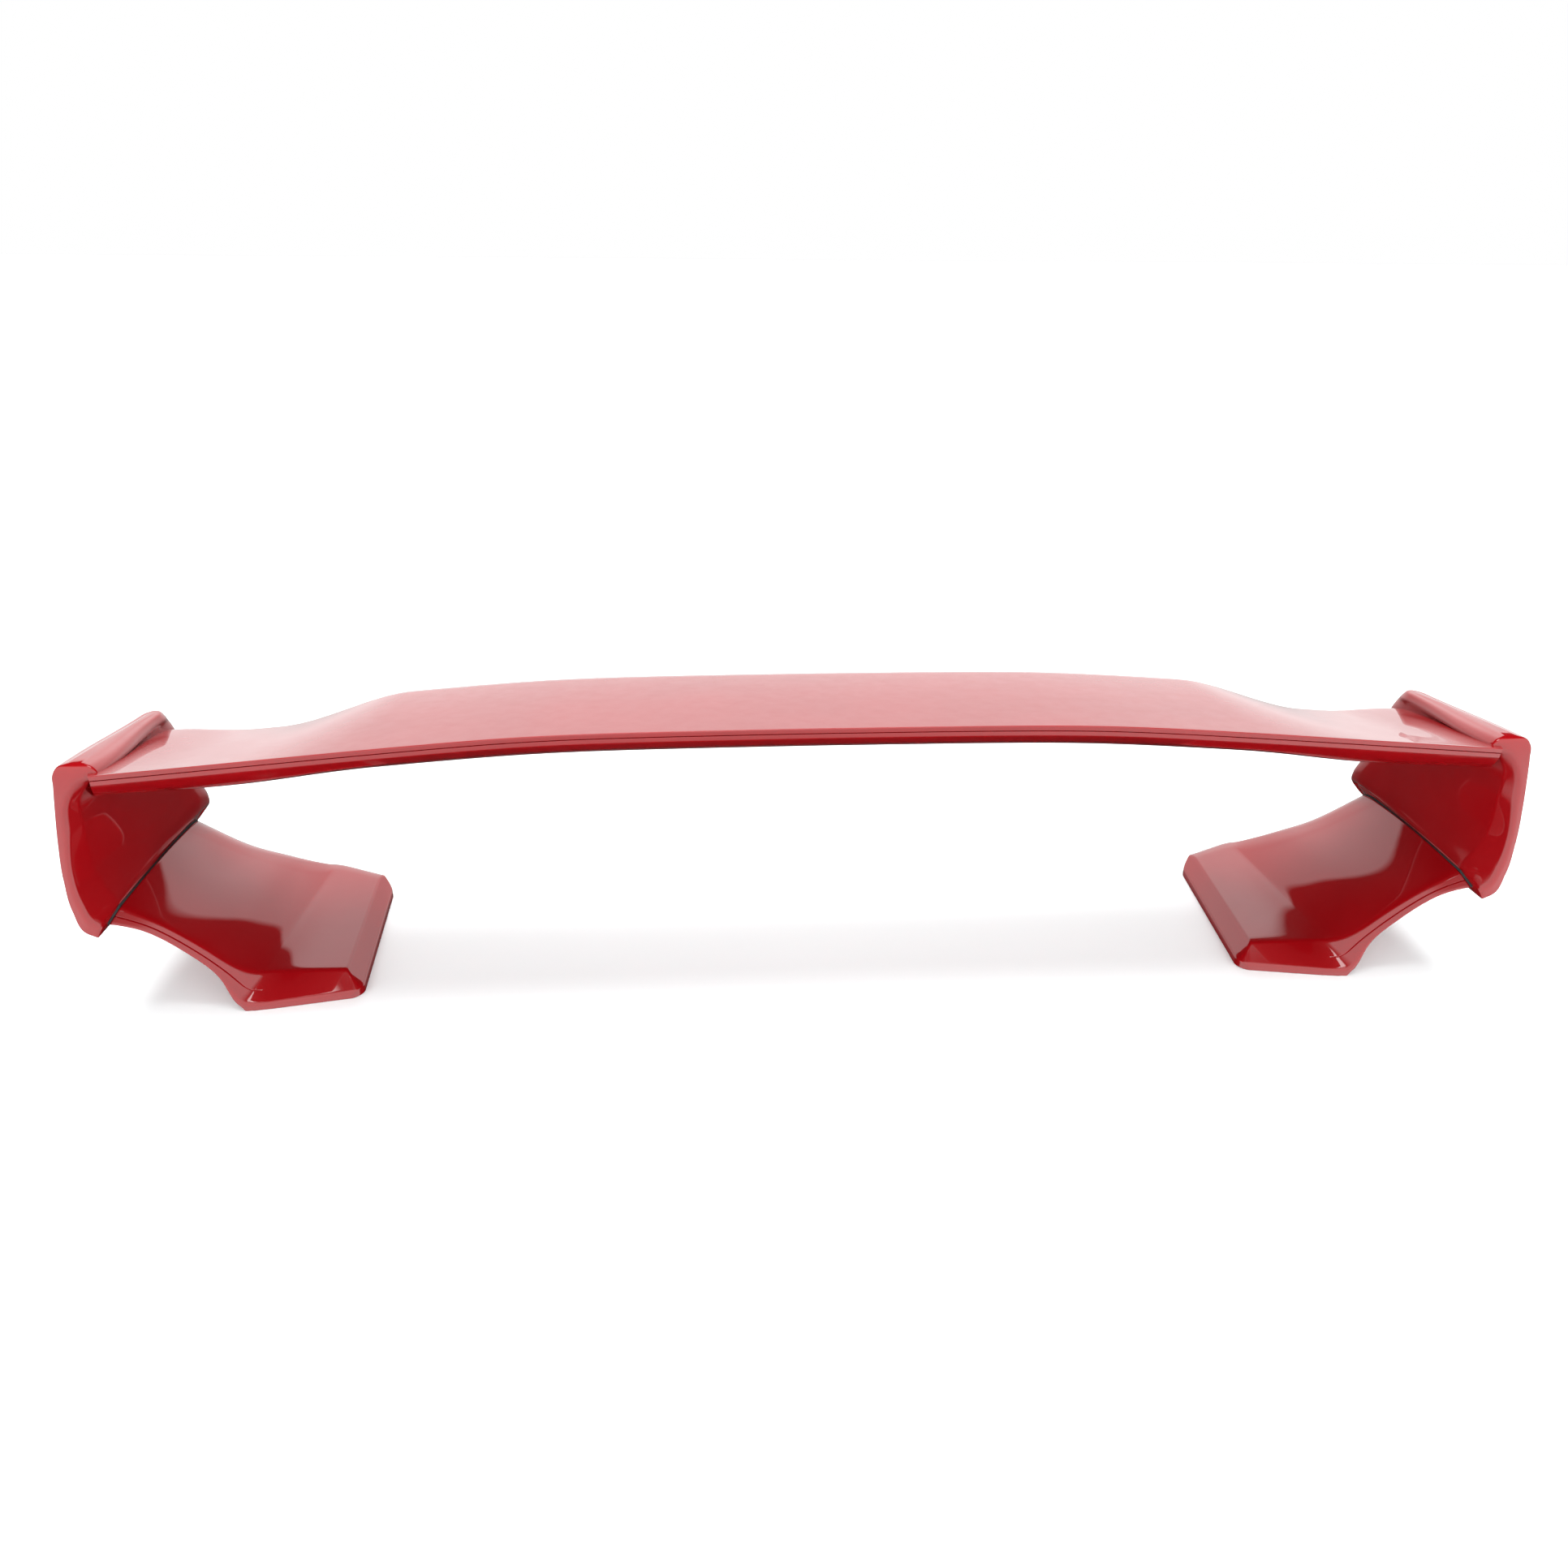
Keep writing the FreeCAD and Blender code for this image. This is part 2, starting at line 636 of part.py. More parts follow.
def wall_bolt_rods(radius, x_from, x_to):
    along = bracket_frame()[1]
    end = spar_frame(SPAR_HALF + BRACKET_END)[0]
    rods = []
    for sign in (-1, 1):
        p = end + along * (sign * BOLT_SPREAD)
        rods.append(Part.makeCylinder(radius, x_to - x_from, Vec(x_from, p.y, p.z), Vec(1, 0, 0)))
    return Part.makeCompound(rods)


def spar_bracket():
    """Angle bracket: a tongue under the spar and an upright against the end plate."""
    centre, along, up = bracket_frame()
    under = -(SPAR_H / 2.0 + 2.0 * FIT)
    tongue = block(centre, along, up, SPAR_HALF - BRACKET_LAP, FLANGE_X, BRACKET_W,
                   under - BRACKET_T, under)
    upright_origin = spar_frame(SPAR_HALF + BRACKET_END)[0]
    upright = block(upright_origin, along, up, FLANGE_X - BRACKET_T, FLANGE_X, BRACKET_W,
                    under - BRACKET_T, SPAR_H / 2.0)
    body = tongue.fuse(upright).removeSplitter()
    return biggest(body.cut(bracket_bolt_rods(BOLT_R + 0.2, -20.0, 20.0))
                   .cut(wall_bolt_rods(BOLT_R + 0.2, FLANGE_X - 10.0, FLANGE_X + 10.0)))


def bracket_bolts():
    """Two bolts up through bracket and spar, two sideways into the end plate's wall."""
    low = -(SPAR_H / 2.0 + BRACKET_T)
    shanks = bracket_bolt_rods(BOLT_R, low, SPAR_H / 2.0 + 1.0)
    heads = bracket_bolt_rods(BOLT_HEAD_R, low - BOLT_HEAD_H, low)
    side_shanks = wall_bolt_rods(BOLT_R, FLANGE_X - BRACKET_T, FLANGE_X + WALL_BOLT_REACH)
    side_heads = wall_bolt_rods(BOLT_HEAD_R, FLANGE_X - BRACKET_T - BOLT_HEAD_H, FLANGE_X - BRACKET_T)
    return Part.makeCompound((shanks.fuse(heads)).Solids + (side_shanks.fuse(side_heads)).Solids)


# ---- assembly -----------------------------------------------------------------------------
def build():
    pieces = {}
    for name, sign in (("blade_upper_skin", 1), ("blade_lower_skin", -1)):
        skin = blade_skin(sign).cut(END_PLATE_OUTER).cut(mirrored(END_PLATE_OUTER))
        pieces[name] = biggest(skin.cut(tip_trim()).cut(mirrored(tip_trim())))
    tube = spar()
    for mirror in (False, True):
        rods = bracket_bolt_rods(BOLT_R + 0.2, -20.0, 20.0)
        tube = tube.cut(mirrored(rods) if mirror else rods)
    pieces["blade_spar"] = tube
    core = blade_core(WALL + CLEAR)
    void = spar_tube(SPAR_W + 2 * CLEAR, SPAR_H + 2 * CLEAR, SPAR_HALF)
    pieces["blade_rib_centre"] = rib(RIB_AT[0], core, void)
    for place, x in (("inner", RIB_AT[1]), ("outer", RIB_AT[2])):
        pieces["blade_rib_%s_left" % place] = rib(-x, core, void)
        pieces["blade_rib_%s_right" % place] = rib(x, core, void)
    sided = {
        "spar_bracket": spar_bracket(),
        "spar_bracket_bolts": bracket_bolts(),
        "end_plate": end_plate(wall_bolt_rods(BOLT_R + 0.2, FLANGE_X, FLANGE_X + WALL_BOLT_REACH + 2.0)),
        "joint_stud_plate": joint_plate(),
        "joint_gasket": joint_gasket(),
        "joint_nuts": joint_nuts(),
        "leg": leg(),
        "leg_stay": stay(),
        "foot_plate": foot_plate(),
        "foot_inserts": foot_inserts(),
        "foot_screws": foot_screws(),
        "foot_gasket": foot_gasket(),
    }
    for name, shape in sided.items():
        pieces[name + "_right"] = shape
        pieces[name + "_left"] = mirrored(shape)
    return pieces


os.makedirs("parts", exist_ok=True)
for node, piece in build().items():
    piece = piece.copy()
    piece.translate(Vec(0.0, -Y_CENTRE, 0.0))
    piece.exportStep("parts/%s.step" % node)
    box = piece.BoundBox
    print("%-26s solids %d valid %s volume %.1f cm3  X %.1f..%.1f Y %.1f..%.1f Z %.1f..%.1f" % (
        node, len(piece.Solids), piece.isValid(), piece.Volume / 1000.0,
        box.XMin, box.XMax, box.YMin, box.YMax, box.ZMin, box.ZMax))
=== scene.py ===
import json
import math

import bpy
import numpy as np
from mathutils import Matrix, Vector


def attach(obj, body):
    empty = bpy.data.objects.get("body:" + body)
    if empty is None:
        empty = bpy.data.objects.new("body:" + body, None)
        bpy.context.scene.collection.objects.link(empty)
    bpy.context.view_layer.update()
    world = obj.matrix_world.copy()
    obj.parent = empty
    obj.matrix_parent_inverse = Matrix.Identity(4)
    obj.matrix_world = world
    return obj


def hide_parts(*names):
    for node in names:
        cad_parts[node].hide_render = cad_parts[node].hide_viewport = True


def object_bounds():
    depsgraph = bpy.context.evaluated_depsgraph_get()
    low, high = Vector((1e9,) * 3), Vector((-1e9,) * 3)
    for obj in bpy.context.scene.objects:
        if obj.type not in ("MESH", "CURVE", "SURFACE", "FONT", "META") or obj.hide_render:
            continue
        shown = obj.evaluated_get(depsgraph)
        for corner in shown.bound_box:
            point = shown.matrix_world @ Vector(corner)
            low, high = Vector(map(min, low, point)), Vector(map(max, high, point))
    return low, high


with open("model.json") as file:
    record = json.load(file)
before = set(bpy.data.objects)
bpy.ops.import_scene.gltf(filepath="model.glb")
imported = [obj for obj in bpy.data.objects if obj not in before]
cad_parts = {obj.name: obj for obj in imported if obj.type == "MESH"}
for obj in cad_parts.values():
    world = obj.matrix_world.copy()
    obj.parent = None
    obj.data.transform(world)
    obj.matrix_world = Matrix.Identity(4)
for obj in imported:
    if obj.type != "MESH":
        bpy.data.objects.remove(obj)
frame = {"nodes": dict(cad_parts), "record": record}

cad_low, cad_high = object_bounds()
scene = bpy.context.scene
nodes = frame["nodes"]

# ---- shape of the mouldings, in mm, with Y = 0 at the rear of the end plates -----------------
Y_CENTRE = 139.5

TE_Y, TE_Z, TE_FACE, TE_RAKE = -10.0, 312.2, 12.0, 5.0
DROOP_START, DROOP_SOFT, DROOP_SLOPE = 260.0, 83.0, 0.087
LE_Y, LE_Z = 214.0, 273.0
LE_STEP = (405.0, 535.0)
LE_STEP_Z, LE_STEP_Y = 20.0, 20.0
LE_RISE = (560.0, 650.0)
LE_RISE_Z = 9.0
BLADE_NOSE, BLADE_UP, BLADE_LOW = 30.0, 11.0, 12.0
BLADE_UP_SLOPE, BLADE_LOW_SLOPE = 0.03, 0.68
BLADE_END, TE_END, TE_END_SLANT = 668.0, 634.0, 0.5
TE_GROOVE_HALF, TE_GROOVE_DEPTH = 0.55, 1.6     # where the two skins meet
PLATE_MIDDLE, PLATE_MIDDLE_SLANT = 669.0, 0.07  # middle of the end plate, where the blade ends

# End plate, joint to bead: inner crease, outer rear edge, front edge, height of nose above and
# below, nose length
FIN = (
    ((668, 42, 120), (681, 12, 99), (664, 247, 112), 14, 9, 38),
    ((670, 40, 128), (691, 10, 107), (657, 246, 120), 12, 12, 36),
    ((674, 35, 143), (696, 9, 130), (653, 240, 135), 11, 13, 32),
    ((676, 28, 170), (695, 7, 165), (654, 225, 165), 10, 13, 30),
    ((669, 18, 214), (689, 4, 205), (655, 211, 205), 9, 13, 28),
    ((661, 11, 248), (681, 1, 245), (656, 200, 236), 9, 12, 26),
    ((648, 6, 265), (677, 0, 264), (658, 195, 247), 9, 12, 24),
    ((637, 2, 275), (675, 1, 276), (659, 190, 254), 10, 11, 22),
    ((641, 4, 281), (671, 3, 282), (659, 185, 260), 8, 9, 20),
    ((650, 8, 284), (663, 8, 284), (659, 176, 262), 3, 3, 12),
)
REAR_BAND = 0.55            # share of the end plate's thickness that faces straight back
FIN_ROUND = 2.5             # largest rounding of its rear edges
# Leg, joint to pad: rear ridge, rear bottom edge, front edge, nose above and below, nose length,
# tail and nose walls
LEG = (
    ((668, 38, 119), (676, 24, 110), (668, 232, 106), 16, 11, 45, 1.5, 1.5),
    ((634, 35, 101), (642, 26, 97), (632, 252, 68), 14, 11, 45, 1.5, 1.5),
    ((597, 38, 68), (606, 28, 66), (590, 266, 44), 12, 10, 42, 1.5, 2.0),
    ((579, 42, 46), (589, 31, 44), (568, 277, 30), 10, 8, 38, 2.0, 3.0),
    ((567, 48, 32), (581, 32, 27), (551, 285, 20), 9, 7, 32, 3.0, 5.0),
    ((556, 56, 25.5), (570, 25, 9), (545, 288, 17), 8, 12, 26, 6.0, 12.0),
    ((536, 64, 23), (536, 29.5, 8), (532, 286, 15.5), 7.5, 13.5, 22, 6.0, 13.5),
)
# One row past the leg's last one, which only steers the curve into the pad
AFTER_LEG = ((516, 64, 25.5), (516, 33, 9), (512, 276, 17), 8, 12, 26, 6.0, 12.0)
LEG_CROWN, CROWN_FADE = 3.0, (545.0, 585.0)     # extra rise of the leg's top, and where it starts
RIDGE_ROUND, RIDGE_GAIN, RIDGE_FADE = 3.0, 5.0, (545.0, 570.0)  # rounding on the pad, more on the leg
GROOVE_DEPTH, GROOVE_FADE = 1.2, (550.0, 572.0)  # parting groove of the leg's rear face
GROOVE_AT, GROOVE_HALF = 0.42, 0.7
GASKET_T = 2.0
LIP, LIP_STEP = 1.2, 0.3    # rounding of the edges on both sides of the joint, and its middle ring
PAD_TOP, PAD_WALL, PAD_FLOOR = 23.0, 8.0, 0.4   # the moulding's rim hides the gasket
PAD_NOSE, PAD_NOSE_LEN = 15.5, 22.0             # height of the front edge, and length of its round
PAD_LAST = 536.0            # the leg's last section, where the pad starts
PAD_REAR, PLATEAU_REAR = (29.6, 0.18), (64.0, -0.032)   # y there, and its gain per mm inboard
INNER_X, INNER_SLANT, INNER_BEVEL = 456.0, 0.066, 17.0
FRONT_R, FRONT_CUT, REAR_ROUND = 28.0, 0.55, 0.75
PAD_FRONT, PAD_NARROWS = 286.0, 0.5
EDGE_R = 1.6                # rounding of the pad's inner edge
FOOT_EDGE = ((568.0, 24.0), (545.0, 290.0))     # outboard edge of the foot on the ground, x and y
FOOT_SLOPE = 2.0            # rise of the underside outboard of that edge
ROW_STEP = 3.0              # spacing of the rings along the end plates and legs
# Distances of the pad's rings from its inner edge
PAD_STEPS = (78, 75, 71, 67, 62, 57, 52, 47, 42, 37, 33, 30, 27, 25, 23.5, 22, 21, 20, 19, 18, 16.5,
             15, 13, 11, 9, 7.5, 6, 5, 4, 3.2, 2.5, 1.9, 1.4, 1.0, 0.65, 0.35, 0.15, 0.0)


def smoothstep(x, edges):
    t = min(max((x - edges[0]) / (edges[1] - edges[0]), 0.0), 1.0)
    return t * t * (3 - 2 * t)


def hermite(t, h0, h1, slope, run):
    return ((2 * t**3 - 3 * t**2 + 1) * h0 + (t**3 - 2 * t**2 + t) * slope * run
            + (3 * t**2 - 2 * t**3) * h1)


def unit(v):
    return v / np.linalg.norm(v)


class Section:
    """Blunt-tailed aerofoil in the plane of three points, as separate runs of points."""

    def __init__(self, upper, lower, nose, up, low, nose_len, tail_wall=0.0, nose_wall=0.0,
                 up_slope=0.1, low_slope=0.05):
        self.upper, self.lower, self.nose = (np.array(p, float) for p in (upper, lower, nose))
        self.tail = 0.5 * (self.upper + self.lower)
        self.chord_dir = unit(self.nose - self.tail)
        across = self.upper - self.tail
        self.skew = float(across @ self.chord_dir)
        across = across - self.chord_dir * self.skew
        self.half_tail = float(np.linalg.norm(across))
        self.up_dir = unit(across)
        self.chord = float(np.linalg.norm(self.nose - self.tail))
        self.up, self.low, self.nose_len = up, low, nose_len
        self.tail_wall, self.nose_wall = tail_wall, nose_wall
        self.up_slope, self.low_slope = up_slope, low_slope

    def place(self, pairs):
        return np.array([self.tail + self.chord_dir * a + self.up_dir * h for a, h in pairs])

    def side(self, sign):
        """Long run and nose run of one side, tail to nose."""
        if sign > 0:
            tail_height, height, edge, slope = self.half_tail, self.up, 0.0, self.up_slope
        else:
            tail_height = self.half_tail + self.tail_wall
            height, edge, slope = self.low, self.nose_wall, self.low_slope
        start = sign * self.skew
        run = self.chord - self.nose_len - start
        long_run = [(start + run * t, sign * hermite(t, tail_height, height, slope, run))
                    for t in np.linspace(0.0, 1.0, 40)]
        turns = np.linspace(0.0, 0.5 * math.pi, 24)
        nose_run = [(self.chord - self.nose_len + self.nose_len * math.sin(a),
                     sign * (edge + (height - edge) * math.cos(a))) for a in turns]
        return self.place(long_run), self.place(nose_run)

    def corner(self, a, h):
        return self.place([(a, h)])[0]


# ---- smooth curves and rounded rings -----------------------------------------------------------
def lengths(points):
    return np.concatenate([[0.0], np.cumsum(np.linalg.norm(np.diff(points, axis=0), axis=1))])


def along(points, distances):
    s = lengths(points)
    return np.stack([np.interp(distances, s, points[:, i]) for i in range(points.shape[1])], 1)


def rounded_ring(runs, rounds, counts, corner_points=4):
    """Closed ring through the runs, with the corner after run k cut back by rounds[k] and curved."""
    n = len(runs)
    cut_runs = []
    for k in range(n):
        total = lengths(runs[k])[-1]
        a = min(rounds[k - 1], 0.45 * total)
        b = min(rounds[k], 0.45 * total)
        cut_runs.append(along(runs[k], np.linspace(a, total - b, counts[k])))
    ring = []
    for k in range(n):
        if rounds[k] <= 0:
            ring.append(cut_runs[k][:-1])
            continue
        ring.append(cut_runs[k])
        p0, p1, p2 = cut_runs[k][-1], runs[k][-1], cut_runs[(k + 1) % n][0]
        t = np.linspace(0.0, 1.0, corner_points + 2)[1:-1, None]
        ring.append((1 - t) ** 2 * p0 + 2 * t * (1 - t) * p1 + t * t * p2)
    return np.vstack(ring)


def spread_rows(rows, step):
    """Rows of numbers, made smooth by a cubic through them and set about one step apart."""
    flat = np.array([[c for item in row for c in (item if isinstance(item, tuple) else (item,))]
                     for row in rows], float)
    s = lengths(flat[:, :9])
    slopes = np.gradient(flat, s, axis=0)
    out = []
    for k in range(len(flat) - 1):
        gap = s[k + 1] - s[k]
        for t in np.arange(0.0, 1.0, 1.0 / max(int(gap / step), 2)):
            out.append((2 * t**3 - 3 * t**2 + 1) * flat[k] + (t**3 - 2 * t**2 + t) * gap * slopes[k]
                       + (3 * t**2 - 2 * t**3) * flat[k + 1] + (t**3 - t**2) * gap * slopes[k + 1])
    out.append(flat[-1])
    return out


def section_from(row):
    return Section(row[0:3], row[3:6], row[6:9], *row[9:])


def skin_mesh(name, rings, mirror=False, sharp=50.0):
    """Closed mesh through the rings, which are in mm, with flat caps on the first and last."""
    pts = np.array(rings) / 1000.0
    pts[:, :, 1] -= Y_CENTRE / 1000.0
    if mirror:
        pts[:, :, 0] *= -1.0
    rows, cols = pts.shape[:2]
    faces = []
    for r in range(rows - 1):
        for c in range(cols):
            d = (c + 1) % cols
            faces.append((r * cols + c, r * cols + d, (r + 1) * cols + d, (r + 1) * cols + c))
    faces.append(tuple(reversed(range(cols))))
    faces.append(tuple((rows - 1) * cols + c for c in range(cols)))
    mesh = bpy.data.meshes.new(name)
    mesh.from_pydata(pts.reshape(-1, 3).tolist(), [], faces)
    mesh.update()
    obj = bpy.data.objects.new(name, mesh)
    scene.collection.objects.link(obj)
    outward_faces(mesh)
    mesh.shade_smooth()
    mesh.set_sharp_from_angle(angle=math.radians(sharp))
    return obj


def outward_faces(mesh):
    """Turn every face over if the closed mesh is inside out."""
    volume = 0.0
    for p in mesh.polygons:
        v = [mesh.vertices[i].co for i in p.vertices]
        for k in range(1, len(v) - 1):
            volume += v[0].dot(v[k].cross(v[k + 1]))
    if volume < 0:
        mesh.flip_normals()


# ---- blade ---------------------------------------------------------------------------------------
def droop(x):
    """Fall of the blade below its middle, nearly straight towards the ends."""
    d = x - DROOP_START
    return DROOP_SLOPE * 0.5 * (d + math.sqrt(d * d + DROOP_SOFT * DROOP_SOFT))


def blade_ring(x):
    """Section of the blade at a distance from its middle, with the groove in its trailing edge."""
    step, rise = smoothstep(x, LE_STEP), smoothstep(x, LE_RISE)
    te_z = TE_Z - droop(x)
    nose_y = LE_Y - LE_STEP_Y * step
    nose_z = LE_Z - droop(x) - LE_STEP_Z * step + LE_RISE_Z * rise
    s = Section((x, TE_Y, te_z), (x, TE_Y + TE_RAKE, te_z - TE_FACE), (x, nose_y, nose_z),
                BLADE_UP, BLADE_LOW, BLADE_NOSE,
                up_slope=BLADE_UP_SLOPE, low_slope=BLADE_LOW_SLOPE)
    upper, upper_nose = s.side(1)
    lower, lower_nose = s.side(-1)
    low, high = lower[0], upper[0]
    face = unit(high - low)
    middle = 0.5 * (low + high)
    lip_low, lip_high = middle - face * TE_GROOVE_HALF, middle + face * TE_GROOVE_HALF
    groove = middle + s.chord_dir * TE_GROOVE_DEPTH
    runs = [np.array([low, lip_low]), np.array([lip_low, groove]), np.array([groove, lip_high]),
            np.array([lip_high, high]), upper, upper_nose, lower_nose[::-1], lower[::-1]]
    return rounded_ring(runs, [0.35, 0.1, 0.35, 1.7, 0, 0, 0, 1.7], [4, 3, 3, 4, 56, 16, 16, 48])


def blade_mesh():
    """Blade from end to end, each end slanted to follow the inside of the end plate."""
    xs = np.linspace(0.0, BLADE_END, 168)
    table = np.array([blade_ring(x) for x in xs])
    ys = table[:, :, 1]
    out = []
    for u in np.linspace(-1.0, 1.0, 181):
        near = np.array([np.interp(abs(u) * BLADE_END, xs, ys[:, j]) for j in range(ys.shape[1])])
        slanted = TE_END + TE_END_SLANT * (near - TE_Y + 10.0)
        plate_middle = PLATE_MIDDLE - PLATE_MIDDLE_SLANT * near
        reach = abs(u) * np.minimum(slanted, plate_middle)
        ring = np.array([[np.interp(reach[j], xs, table[:, j, i]) for i in range(3)]
                         for j in range(len(near))])
        ring[:, 0] = math.copysign(1.0, u) * reach
        out.append(ring)
    return skin_mesh("blade_moulding", out)


# ---- end plate -----------------------------------------------------------------------------------
JOINT = Section(*FIN[0])
OUT = unit(np.cross(JOINT.chord_dir, JOINT.up_dir))
OUT = OUT if OUT[2] > 0 else -OUT


def lip(ring, inward, along_joint):
    """A ring at the joint, moved in from its edge in the joint plane and along the joint's normal."""
    run = np.roll(ring, -3, axis=0) - np.roll(ring, 3, axis=0)
    side = np.cross(OUT, run)
    side /= np.linalg.norm(side, axis=1)[:, None]
    towards = ring.mean(axis=0) - ring
    side *= np.sign((side * towards).sum(axis=1).sum())
    return ring + side * inward + OUT * along_joint


def fin_ring(row):
    """Section of the end plate: a band facing back, a bevel to the inner crease, and both sides."""
    s = section_from(row)
    upper, upper_nose = s.side(1)
    lower, lower_nose = s.side(-1)
    band = np.array([lower[0], s.corner(-s.skew, s.half_tail * (2.0 * REAR_BAND - 1.0))])
    inside = np.array([band[1], upper[0]])
    edge = min(s.half_tail * 0.5, FIN_ROUND)
    return rounded_ring([band, inside, upper, upper_nose, lower_nose[::-1], lower[::-1]],
                        [2.0 * edge, edge, 0, 0, 0, edge], [8, 10, 50, 18, 18, 50], corner_points=6)


def end_plate_mesh(name, mirror):
    rings = [fin_ring(row) for row in spread_rows(FIN, ROW_STEP)]
    for ring in rings:
        ring[:, 0] = np.minimum(ring[:, 0], 1000.0 * cad_high[0] - 0.02)
    foot = rings[0]
    rings[0] = foot + OUT * LIP
    rings = [lip(foot, LIP, 0.0), lip(foot, LIP_STEP * LIP, LIP_STEP * LIP)] + rings
    last = rings[-1]
    middle = last.mean(axis=0)
    rings.append(middle + (last - middle) * 0.8 + np.array([0.0, 0.0, 0.5]))
    rings.append(middle + (last - middle) * 0.45 + np.array([0.0, 0.0, 0.8]))
    return skin_mesh(name, rings, mirror)


# ---- leg and foot --------------------------------------------------------------------------------
def on_joint_plane(p):
    p = np.array(p, float)
    return tuple(p - OUT * ((p - JOINT.tail) @ OUT))


# Runs round a leg ring: rear face in four (below, into and out of the parting groove, and up to
# the ridge), top, nose, nose wall, under the nose, underside and rear wall.
LEG_COUNTS = [8, 4, 4, 14, 50, 14, 5, 8, 30, 5]
LEG_ROUNDS = [0.3, 0.1, 0.3, RIDGE_ROUND, 0, 1.0, 0.8, 0, 0.8, 2.5]
RIDGE_RUN, NOSE_WALL_RUN, UNDER_NOSE_RUN, TAIL_WALL_RUN = 3, 6, 7, 9
CORNER_POINTS = 5


def rear_face(points, into, depth):
    """Rear face from its foot to the ridge, in four runs, with a V groove of a given depth."""
    total = lengths(points)[-1]
    mid = GROOVE_AT * total
    cuts = [0.0, mid - GROOVE_HALF, mid, mid + GROOVE_HALF, total]
    ends = along(points, cuts)
    ends[2] = ends[2] + into * depth
    below = along(points, np.linspace(cuts[0], cuts[1], 16))
    over = along(points, np.linspace(cuts[3], cuts[4], 24))
    return [below, ends[1:3], ends[2:4], over]


def leg_ring(row):
    """Section of the leg."""
    s = section_from(row)
    upper, upper_nose = s.side(1)
    crown = LEG_CROWN * smoothstep(row[0], CROWN_FADE)
    upper += np.outer(crown * np.sin(np.linspace(0.0, math.pi, len(upper))), s.up_dir)
    lower, lower_nose = s.side(-1)
    corner = s.corner(-s.skew, -s.half_tail)
    depth = GROOVE_DEPTH * smoothstep(row[0], GROOVE_FADE)
    tail = rear_face(np.array([corner, upper[0]]), s.chord_dir, depth)
    nose_wall = np.array([upper_nose[-1], lower_nose[-1]])
    tail_wall = np.array([lower[0], corner])
    rounds = list(LEG_ROUNDS)
    rounds[RIDGE_RUN] += RIDGE_GAIN * smoothstep(row[0], RIDGE_FADE)
    runs = tail + [upper, upper_nose, nose_wall, lower_nose[::-1], lower[::-1], tail_wall]
    return rounded_ring(runs, rounds, LEG_COUNTS, CORNER_POINTS)


def soft_min(a, b, k):
    """Smaller of two values, rounded over k mm where they cross."""
    h = np.maximum(k - np.abs(a - b), 0.0) / k
    return np.minimum(a, b) - h * h * k * 0.25


def pad_height(a, b, front):
    """Top of the pad: a and b run from 0 to 1 across the rear and inner bevels, front in mm."""
    rise = PAD_TOP - PAD_WALL
    m = np.minimum(a, b)
    if b < REAR_ROUND:
        near = a < REAR_ROUND
        far = REAR_ROUND - np.hypot(REAR_ROUND - np.minimum(a, REAR_ROUND), REAR_ROUND - b)
        m = np.where(near, np.maximum(far, 0.0), m)
    slope = PAD_WALL + rise * m
    top = soft_min(slope, np.full_like(slope, PAD_TOP), 0.8)
    d = np.clip(front / PAD_NOSE_LEN, 0.0, 1.0)
    nose = PAD_NOSE + (PAD_TOP - PAD_NOSE) * np.sqrt(np.maximum(1.0 - (1.0 - d) ** 2, 0.0))
    return soft_min(top, nose, 0.8)


def pad_ring(inward):
    """Ring of the pad at a distance from its inner edge, in mm."""
    t = 1.0 - inward / (PAD_LAST - 2.0 - INNER_X)
    slant = -0.015 * (1 - t) + INNER_SLANT * t
    x0 = INNER_X + inward
    b = inward / INNER_BEVEL
    edge = PAD_REAR[0] + PAD_REAR[1] * (PAD_LAST - x0)
    plateau = PLATEAU_REAR[0] + PLATEAU_REAR[1] * (PAD_LAST - x0)
    bevel = plateau - edge
    rear = edge
    if b < REAR_ROUND:
        rear += bevel * (REAR_ROUND - math.sqrt(REAR_ROUND**2 - (REAR_ROUND - b) ** 2))
    line = PAD_FRONT - PAD_NARROWS * (532.0 - x0 - slant * 212.0)
    front = line
    if inward < FRONT_R:
        front -= FRONT_CUT * (FRONT_R - math.sqrt(FRONT_R**2 - (FRONT_R - inward) ** 2))
    ridge = max(edge + bevel * min(b, 1.0), rear + 2.0)
    edge_drop = 0.0
    if inward < EDGE_R:
        edge_drop = EDGE_R * (1.0 - math.sqrt(1.0 - (1.0 - inward / EDGE_R) ** 2))

    def top(y):
        y = np.asarray(y, float)
        z = pad_height((y - edge) / bevel, b, line - y) - edge_drop
        return np.stack([x0 + slant * (y - edge), y, z], 1)

    def base(y):
        y = np.asarray(y, float)
        return np.stack([x0 + slant * (y - edge), y, np.full_like(y, PAD_FLOOR)], 1)

    tail = rear_face(top(np.linspace(rear, ridge, 30)), 0.0, 0.0)
    upper = top(np.linspace(ridge, front - PAD_NOSE_LEN, 40))
    nose = top(front - PAD_NOSE_LEN * (1.0 - np.sin(np.linspace(0.0, 0.5 * math.pi, 24))))
    nose_wall = np.array([nose[-1], base([front])[0]])
    lower_nose = base(np.linspace(front, front - PAD_NOSE_LEN, 6))
    lower = base(np.linspace(front - PAD_NOSE_LEN, rear, 20))
    tail_wall = np.array([lower[-1], tail[0][0]])
    runs = tail + [upper, nose, nose_wall, lower_nose, lower, tail_wall]
    return rounded_ring(runs, LEG_ROUNDS, LEG_COUNTS, CORNER_POINTS)


